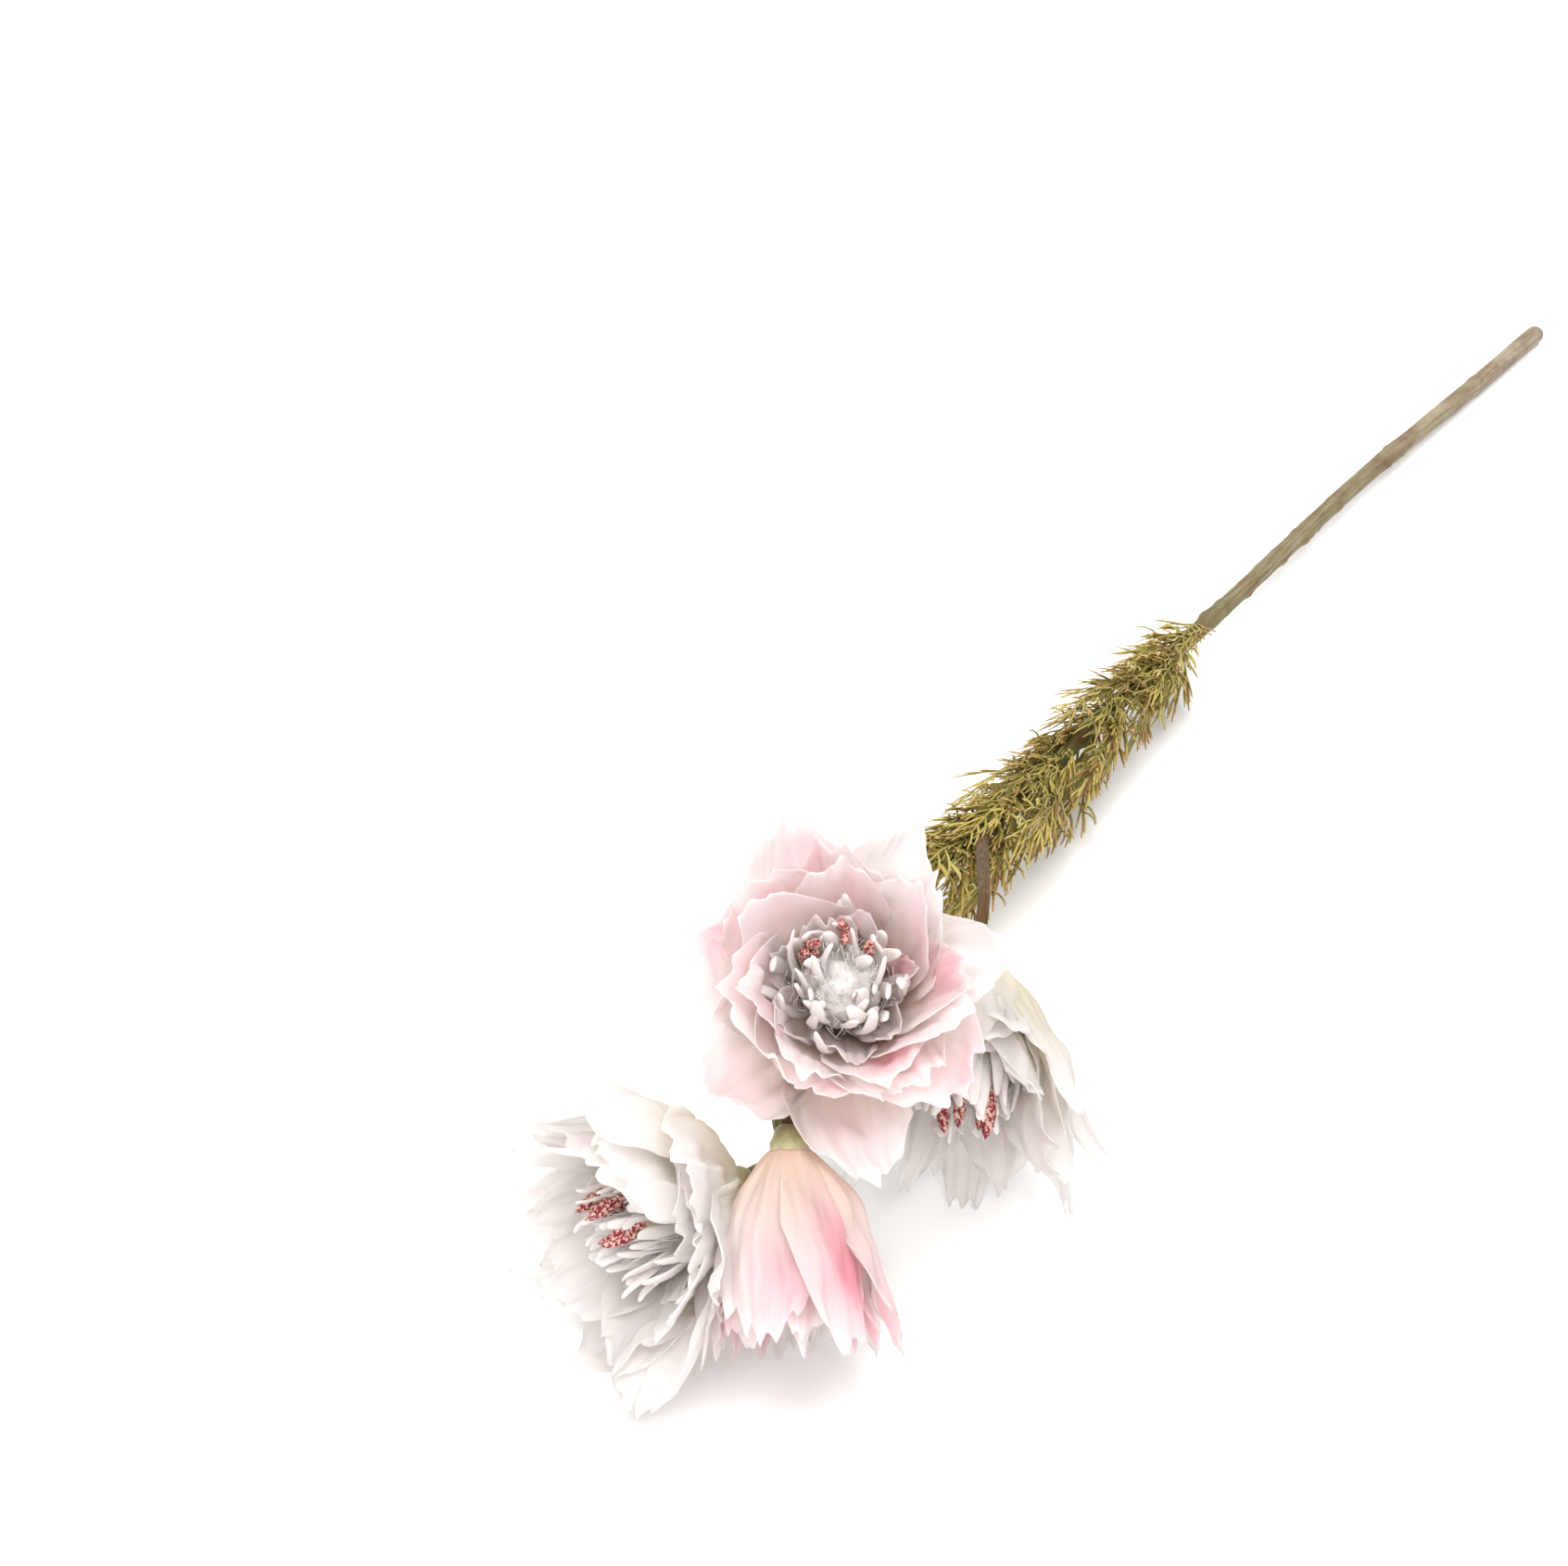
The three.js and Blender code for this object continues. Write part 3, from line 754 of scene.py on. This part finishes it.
class PROTEA_OT_bracts(bpy.types.Operator):
    """Grows the outer bracts of every head"""

    bl_idname = "protea.bracts"
    bl_label = "Outer bracts"

    def execute(self, context):
        looks = context.scene.protea_bracts
        surfaces = bract_surfaces(looks)
        for number, name in enumerate(HEADS):
            head = FlowerHead(name)
            look = LOOKS[name]
            slot = bract_slot(name)
            for i in range(BRACTS_IN_WHORL):
                node = f"{name}_outer_bract_{i + 1}"
                length, opening = head.reach(node, OUTER_SEAT)
                length *= look["length"]
                opening *= look["splay"]
                bm, layers = new_mesh()
                for row in range(2):
                    rng = random.Random(100 * number + 10 * row + i)
                    angle = math.tau * (i + 0.5 * row) / BRACTS_IN_WHORL + rng.uniform(-0.1, 0.1) * row
                    bare = bareness(look, angle)
                    short = length * (1 - bare)
                    reach = short * rng.uniform(0.8 if row else 0.97, 0.9 if row else 1.05)
                    width = looks.outer_width * look["width"] * rng.uniform(0.78, 0.95 if row else 1.08)
                    spread = opening * (1 + bare) * (rng.uniform(0.74, 0.88) if row else 1)
                    shape = bract_shape(OUTER_BRACT, looks, look, rng, reach, width, spread)
                    shape["seat"] = OUTER_SEAT + row * OUTER_ROW_GAP
                    shape["blush"] = look["blush"] * (1 if row else 0.75)
                    add_bract(bm, layers, head.turned(angle), rng, shape)
                piece = finish_piece(bm, f"{node}_blade", surfaces[slot], slot, node)
                thicken(piece, looks.thickness)
        return {"FINISHED"}


def bareness(look, angle):
    """How much a head's bracts shorten and fold back at an angle round it."""
    return look["bare"] * max(math.cos(angle - math.radians(look["gap"])), 0) ** 3


def bract_slot(name):
    return "blush_bract" if LOOKS[name]["blush"] > 0.1 else "white_bract"


def bract_surfaces(looks):
    """The two bract materials by their slot, made once."""
    found = {}
    for slot, title, white, foot in (
        ("white_bract", "Silky white bract", looks.white_colour, looks.foot_colour),
        ("blush_bract", "Silky blushing bract", looks.warm_colour, looks.peach_colour),
    ):
        found[slot] = bpy.data.materials.get(title) or bract_surface(title, looks, tuple(white), tuple(foot))
    return found


class PROTEA_OT_inner_bracts(bpy.types.Operator):
    """Grows the middle and inner bracts of every head"""

    bl_idname = "protea.inner_bracts"
    bl_label = "Middle and inner bracts"

    def execute(self, context):
        looks = context.scene.protea_bracts
        surfaces = bract_surfaces(looks)
        for number, name in enumerate(HEADS):
            head = FlowerHead(name)
            look = LOOKS[name]
            slot = bract_slot(name)
            node = f"{name}_middle_bracts"
            length, opening = head.reach(node, MIDDLE_SEAT)
            bm, layers = new_mesh()
            for ring in range(2):
                for i in range(BRACTS_IN_WHORL):
                    rng = random.Random(1000 + 100 * number + 10 * ring + i)
                    angle = math.tau * (i + (0.0 if ring else 0.5)) / BRACTS_IN_WHORL
                    angle += rng.uniform(-0.12, 0.12)
                    bare = bareness(look, angle)
                    reach = (looks.inner_length if ring else length * look["length"]) * (1 - bare)
                    width = (looks.inner_width if ring else looks.middle_width) * rng.uniform(0.85, 1.1)
                    spread = opening * look["splay"] * (1.3 if ring else 1.45) * (1 + bare)
                    spread = spread * (1 + 0.2 * math.cos(angle)) * rng.uniform(0.88, 1.12)
                    shape = bract_shape(INNER_BRACT, looks, look, rng, reach, width, spread)
                    shape["seat"] = MIDDLE_SEAT + ring * INNER_RING_GAP
                    shape["blush"] = look["blush"]
                    add_bract(bm, layers, head.turned(angle), rng, shape)
            piece = finish_piece(bm, f"{name}_inner_blades", surfaces[slot], slot, node)
            thicken(piece, looks.thickness)
        return {"FINISHED"}


class PROTEA_OT_florets(bpy.types.Operator):
    """Grows the rings of blunt florets"""

    bl_idname = "protea.florets"
    bl_label = "Florets"

    def execute(self, context):
        looks = context.scene.protea_centre
        surface = floret_surface(looks)
        for number, name in enumerate(HEADS):
            head = FlowerHead(name)
            node = f"{name}_florets"
            ring = head.ring(node) - looks.floret_radius
            bm, layers = new_mesh()
            rng = random.Random(2000 + number)
            self.mound(bm, layers, head, ring, looks.floret_length * 0.8)
            for share, reach, lift in FLORET_RINGS:
                count = round(looks.florets * share)
                first = rng.uniform(0, math.tau)
                for i in range(count):
                    turn = first + math.tau * (i + rng.uniform(-0.25, 0.25)) / count
                    tall = looks.floret_length * lift * rng.uniform(0.8, 1.06)
                    self.finger(bm, layers, looks, head, rng, turn, ring * reach, tall)
            finish_piece(bm, f"{name}_fingers", surface, "floret", node)
        return {"FINISHED"}

    def mound(self, bm, layers, head, girth, tall):
        """The woolly mound that the fingers stand on."""
        made = bmesh.ops.create_icosphere(bm, subdivisions=4, radius=1)
        for vertex in made["verts"]:
            wool = 1 + 0.16 * noise.noise(vertex.co * 4) + 0.05 * noise.noise(vertex.co * 14)
            flat = Vector((vertex.co.x * girth, vertex.co.y * girth, (vertex.co.z + 1) * tall / 2)) * wool
            # Peach low on the mound, from the floret foot colour, is partly painted warm shade deep in the
            # head.
            vertex[layers["along"]] = 0.25 + 0.3 * vertex.co.z
            vertex.co = head.matrix @ (flat + Vector((0, 0, FLORET_SEAT - 0.6 * MM)))

    def finger(self, bm, layers, looks, head, rng, turn, reach, tall):
        """One flattened finger, which bows out and curls in at its blunt tip."""
        curl = rng.uniform(0.7, 1.25)
        lean = rng.uniform(-0.25, 0.25) * tall
        reach *= rng.uniform(0.85, 1.12)
        profile = [
            (reach * 0.4, 0, FLORET_SEAT - 0.6 * MM),
            (reach * 0.8, lean * 0.15, FLORET_SEAT + tall * 0.35),
            (reach, lean * 0.5, FLORET_SEAT + tall * 0.7),
            (reach * (0.5 + 0.5 * curl), lean * 0.85, FLORET_SEAT + tall * 0.92),
            (reach * curl, lean, FLORET_SEAT + tall),
        ]
        path = head.curve(turn, profile, 14)
        side = (head.turned(turn).to_3x3() @ Vector((1, 0, 0))).normalized()
        width = looks.floret_radius * head.size * rng.uniform(0.75, 1.15)

        def radius(share, around):
            return width * math.sqrt(min(max(1 - share, 0) / 0.45, 1))

        add_rod(bm, moving_frames(path, side), radius, 8, rng.uniform(0.32, 0.5), mark_along(layers))


class PROTEA_OT_styles(bpy.types.Operator):
    """Grows the speckled styles and the silky hairs round them"""

    bl_idname = "protea.styles"
    bl_label = "Styles and hairs"

    def execute(self, context):
        looks = context.scene.protea_centre
        surface = style_surface(looks)
        silk = hair_surface()
        for number, name in enumerate(HEADS):
            head = FlowerHead(name)
            node = f"{name}_styles"
            ring = head.ring(f"{name}_florets") - looks.floret_radius
            bm, layers = new_mesh()
            rng = random.Random(3000 + number)
            for i in range(looks.styles):
                turn = math.pi + CLUSTER_SPACING * (i % STYLE_CLUSTERS - 1) + rng.uniform(-0.14, 0.14)
                reach = ring * rng.uniform(0.75, 1.15)
                tall = looks.floret_length * rng.uniform(0.9, 1.12)
                self.thread(bm, layers, head, looks.style_radius, turn, reach, tall, rng.uniform(0.75, 0.95))
            finish_piece(bm, f"{name}_threads", surface, "style", node)

            bm, layers = new_mesh()
            for i in range(looks.hairs):
                turn = rng.uniform(0, math.tau)
                reach = ring * rng.uniform(0.1, 1.4)
                tall = looks.floret_length * rng.uniform(0.85, 1.08) * (1 - 0.22 * (reach / ring) ** 2)
                self.hair(bm, layers, head, turn, reach, tall, rng.uniform(-0.25, 0.25))
            finish_piece(bm, f"{name}_hairs", silk, "floret", f"{name}_florets")
        return {"FINISHED"}

    def thread(self, bm, layers, head, thickness, turn, reach, tall, close):
        """One style: a thread with a swollen tip."""
        profile = [
            (reach * 0.4, 0, FLORET_SEAT - 0.3 * MM),
            (reach * 0.85, 0, FLORET_SEAT + tall * 0.35),
            (reach, 0, FLORET_SEAT + tall * 0.7),
            (reach * close, 0, FLORET_SEAT + tall),
        ]
        path = head.curve(turn, profile, 14)

        def radius(share, around):
            swollen = math.exp(-(((share - 0.82) / 0.16) ** 2))
            close_tip = math.sqrt(max(1 - share, 0.0) * 10) if share > 0.9 else 1
            return head.size * (thickness + SWOLLEN_TIP * swollen) * min(close_tip, 1)

        add_rod(bm, moving_frames(path), radius, 8, 1.0, mark_along(layers))

    def hair(self, bm, layers, head, turn, reach, tall, lean):
        """One silky hair."""
        profile = [
            (reach * 0.6, 0, FLORET_SEAT),
            (reach, tall * lean * 0.3, FLORET_SEAT + tall * 0.5),
            (reach * 0.95, tall * lean, FLORET_SEAT + tall),
        ]
        path = head.curve(turn, profile, 4)

        def radius(share, around):
            return HAIR_RADIUS * (1 - 0.7 * share)

        add_rod(bm, moving_frames(path), radius, 3, 1.0, mark_along(layers))


class PROTEA_OT_calyces(bpy.types.Operator):
    """Grows the scaly receptacle under every head"""

    bl_idname = "protea.calyces"
    bl_label = "Calyces"

    def execute(self, context):
        surface = calyx_surface()
        for name in HEADS:
            head = FlowerHead(name)
            node = f"{name}_receptacle"
            girth = head.ring(node)
            bm, layers = new_mesh()
            rise = [Vector((0, 0, RECEPTACLE_HEIGHT * share)) for share in (0, 0.25, 0.5, 0.75, 1)]
            path = [head.matrix @ point for point in smooth_path(rise, 24)]

            def radius(share, around):
                swell = math.sin(math.pi * min(share * 0.95 + 0.03, 1)) ** 0.8
                scales = 0.04 * math.sin(around * 8 + share * 25)
                return head.size * girth * (0.3 + (0.44 + scales) * swell)

            add_rod(bm, moving_frames(path), radius, 24, 1.0, mark_along(layers, 0.8))
            finish_piece(bm, f"{name}_calyx", surface, "calyx", node)
        return {"FINISHED"}


class PROTEA_OT_stems(bpy.types.Operator):
    """Grows the bark of the stem and of its side stalks"""

    bl_idname = "protea.stems"
    bl_label = "Stem and stalks"

    def execute(self, context):
        looks = context.scene.protea_stem
        surface = bark_surface(looks)
        for number, (name, start, end) in enumerate(rods()):
            stem = name == "main_stem"
            slices, steps = (STEM_SLICES, STEM_STEPS) if stem else (STALK_SLICES, STALK_STEPS)
            sections = slice_centres(name, start, end, slices)
            centres = [centre for centre, _ in sections]
            first = centres[0] * 1.2 - centres[1] * 0.2
            path = smooth_path([first, *centres, end], steps)
            girth = [sections[0][1], *(radius for _, radius in sections), sections[-1][1]]
            rng = random.Random(4000 + number)
            scars = [
                (rng.uniform(0.1, 0.98), rng.uniform(0, math.tau), rng.uniform(0.5, 1))
                for _ in range(looks.scars if stem else 4)
            ]
            length = sum((b - a).length for a, b in zip(path, path[1:]))
            bm, layers = new_mesh()

            def radius(share, turn):
                place = share * (len(girth) - 1)
                low = min(int(place), len(girth) - 2)
                base = girth[low] + (girth[low + 1] - girth[low]) * (place - low)
                grain = Vector((math.cos(turn) * 1.6, math.sin(turn) * 1.6, share * length * 60))
                ridges = noise.noise(grain)
                bump = 0.0
                for spot, side, tall in scars:
                    far = (share - spot) * length / SCAR_LENGTH
                    if abs(far) < 3:
                        off = (turn - side + math.pi) % math.tau - math.pi
                        bump += tall * math.exp(-far * far - (off / SCAR_TURN) ** 2)
                        bump += 0.35 * tall * math.exp(-far * far)
                return base * (1.02 + 0.06 * ridges) + looks.scar_height * bump

            def mark(vertex, share, turn):
                vertex[layers["along"]] = share
                vertex[layers["tone"]] = 0 if stem else 1
                vertex[layers["across"]] = math.cos(turn)
                vertex[layers["margin"]] = math.sin(turn)
                vertex.co.z = max(vertex.co.z, 0.05 * MM)

            add_rod(bm, moving_frames(path), radius, 20 if stem else 14, 1.0, mark)
            finish_piece(bm, f"{name}_bark", surface, "bark", name)
        return {"FINISHED"}


def rods():
    """(node, start, end) of the stem and its stalks, for slicing."""
    stem = corners("main_stem")
    cut = [point for point in stem if point.y > max(p.y for p in stem) - 4 * MM]
    found = [("main_stem", mean(cut), FlowerHead("left_head").foot)]
    for name in STALKS:
        head = FlowerHead(name.removesuffix("_stalk"))
        points = corners(name)
        root = max(points, key=lambda point: (point - head.foot).length)
        found.append((name, root, head.foot))
    return found


class PROTEA_OT_leaves(bpy.types.Operator):
    """Grows the needle leaves"""

    bl_idname = "protea.leaves"
    bl_label = "Needle leaves"

    def execute(self, context):
        looks = context.scene.protea_leaves
        surface = leaf_surface(looks)
        name, start, end = rods()[0]
        stem = smooth_path([centre for centre, _ in slice_centres(name, start, end, STEM_SLICES)], 240)
        for number, name in enumerate(LEAVES):
            points = corners(name)
            root = min(points, key=lambda point: min((point - centre).length for centre in stem))
            near = min(stem, key=lambda centre: (root - centre).length)
            tip = max(points, key=lambda point: (point - root).length)
            rng = random.Random(5000 + number)
            bm, layers = new_mesh()
            axis = (stem[-1] - stem[120]).normalized()
            outward = (tip - near) - axis * (tip - near).dot(axis)
            outward.normalize()
            full = (tip - near).length
            for i in range(looks.sprigs):
                swing = rng.uniform(-1.5, 1.5) if i else 0.0
                spin = Matrix.Rotation(swing, 3, axis)
                rise = math.radians(rng.uniform(6, 19))
                start_point = near + axis * rng.uniform(-0.2, 0.25) * full * min(i, 1)
                heading = axis * math.cos(rise) + (spin @ outward) * math.sin(rise)
                end_point = start_point + heading * full * rng.uniform(0.45, 0.8)
                self.sprig(bm, layers, looks, rng, start_point, end_point, spin @ outward)
            finish_piece(bm, f"{name}_needles", surface, "needle_leaf", name)
        return {"FINISHED"}

    def sprig(self, bm, layers, looks, rng, start, end, outward):
        """One leaf: a midrib with branching needles to both sides."""
        bow = outward * (end - start).length * 0.1
        spine = smooth_path([start, start.lerp(end, 0.5) + bow, end], 12)
        frames = moving_frames(spine, outward)
        tone = rng.random()
        self.needle(bm, layers, frames, looks.needle_radius * 1.25, tone * 0.6, 0.0, 0.55)
        for pair in range(looks.pairs):
            share = 0.2 + 0.76 * pair / (looks.pairs - 1)
            step = min(int(share * 12), 11)
            base = spine[step].lerp(spine[step + 1], share * 12 - step)
            forward = (spine[step + 1] - spine[step]).normalized()
            _, normal, binormal = frames[step]
            for side in (-1, 1):
                spread = math.radians(rng.uniform(16, 34))
                lift = rng.uniform(-0.3, 0.35)
                heading = forward * math.cos(spread) + (binormal * side + normal * lift) * math.sin(spread)
                length = looks.needle_length * (1 - 0.45 * share) * rng.uniform(0.75, 1.1)
                hue = min(max(tone + rng.uniform(-0.35, 0.35), 0), 1)
                pinna = self.branch(bm, layers, looks, base, heading, forward, length, hue)
                if share < 0.75:
                    for fork in (0.35, 0.6):
                        turn = Matrix.Rotation(side * rng.choice((-1, 1)) * rng.uniform(0.35, 0.6), 3, normal)
                        origin = pinna[1].lerp(pinna[2], fork)
                        self.branch(bm, layers, looks, origin, turn @ heading, forward, length * 0.55, hue)

    def branch(self, bm, layers, looks, base, heading, forward, length, tone):
        """One needle that leaves base and bends towards the leaf's tip."""
        end = base + heading * length * 0.75 + forward * length * 0.3
        path = [base, base + heading * length * 0.5, end]
        path = smooth_path(path, 3)
        for point in path:
            point.z = max(point.z, 0.8 * MM)
        self.needle(bm, layers, moving_frames(path), looks.needle_radius, tone, 0.15, 1.0)
        return path

    def needle(self, bm, layers, frames, thickness, tone, low, high):
        def mark(vertex, share, around):
            vertex[layers["along"]] = low + (high - low) * share
            vertex[layers["tone"]] = tone

        add_rod(bm, frames, lambda share, around: thickness * (1 - 0.55 * share**3), 4, 0.75, mark)


class PROTEA_OT_stage(bpy.types.Operator):
    """Sets up the floor, the light and the camera"""

    bl_idname = "protea.stage"
    bl_label = "Stage"

    def execute(self, context):
        looks = context.scene.protea_stage
        scene = context.scene
        half = looks.floor_side / 2
        bm = bmesh.new()
        bmesh.ops.create_grid(bm, x_segments=4, y_segments=4, size=half)
        mesh = bpy.data.meshes.new("floor")
        bm.to_mesh(mesh)
        bm.free()
        mesh.materials.append(floor_surface(looks))
        floor = bpy.data.objects.new("floor", mesh)
        scene.collection.objects.link(floor)

        world = bpy.data.worlds.new("Soft daylight")
        world.use_nodes = True
        sky = world.node_tree.nodes["Background"]
        sky.inputs["Color"].default_value = (1, 1, 1, 1)
        sky.inputs["Strength"].default_value = looks.sky
        scene.world = world

        aim = Vector(looks.aim)
        self.lamp(scene, "key", aim + KEY_PLACE, aim, KEY_SIZE, looks.key_power)
        self.lamp(scene, "fill", aim + FILL_PLACE, aim, FILL_SIZE, looks.key_power * FILL_SHARE)

        camera = bpy.data.cameras.new("camera")
        camera.lens = looks.lens
        camera.sensor_width = 36
        camera.clip_start = 0.01
        viewer = bpy.data.objects.new("camera", camera)
        back = Vector(
            (
                math.sin(looks.turn) * math.cos(looks.height),
                -math.cos(looks.turn) * math.cos(looks.height),
                math.sin(looks.height),
            )
        )
        viewer.location = aim + back * looks.distance
        viewer.rotation_euler = back.to_track_quat("Z", "Y").to_euler()
        scene.collection.objects.link(viewer)
        scene.camera = viewer
        scene.view_settings.view_transform = "Standard"
        return {"FINISHED"}

    def lamp(self, scene, name, place, aim, side, power):
        light = bpy.data.lights.new(name, "AREA")
        light.shape = "DISK"
        light.size = side
        light.energy = power
        lamp = bpy.data.objects.new(name, light)
        lamp.location = place
        lamp.rotation_euler = (place - aim).to_track_quat("Z", "Y").to_euler()
        scene.collection.objects.link(lamp)


class PROTEA_PT_panel(bpy.types.Panel):
    """Every step of the spray"""

    bl_idname = "PROTEA_PT_panel"
    bl_label = "Cut protea spray"
    bl_space_type = "VIEW_3D"
    bl_region_type = "UI"
    bl_category = "Protea"

    def draw(self, context):
        for operator in OPERATORS:
            self.layout.operator(operator.bl_idname)
        for name in SETTINGS:
            group = getattr(context.scene, name)
            box = self.layout.box()
            for key in group.bl_rna.properties.keys():
                if key not in ("rna_type", "name"):
                    box.prop(group, key)


SETTINGS = {
    "protea_bracts": ProteaBractSettings,
    "protea_centre": ProteaCentreSettings,
    "protea_stem": ProteaStemSettings,
    "protea_leaves": ProteaLeafSettings,
    "protea_stage": ProteaStageSettings,
}
OPERATORS = (
    PROTEA_OT_stage,
    PROTEA_OT_stems,
    PROTEA_OT_leaves,
    PROTEA_OT_calyces,
    PROTEA_OT_bracts,
    PROTEA_OT_inner_bracts,
    PROTEA_OT_florets,
    PROTEA_OT_styles,
)
CLASSES = (*SETTINGS.values(), *OPERATORS, PROTEA_PT_panel)


def register():
    for made in CLASSES:
        bpy.utils.register_class(made)
    for name, made in SETTINGS.items():
        setattr(bpy.types.Scene, name, PointerProperty(type=made))


def unregister():
    for name in SETTINGS:
        delattr(bpy.types.Scene, name)
    for made in reversed(CLASSES):
        bpy.utils.unregister_class(made)


def main():
    register()
    for operator in OPERATORS:
        getattr(bpy.ops.protea, operator.bl_idname.split(".")[1])()


if __name__ == "__main__":
    main()
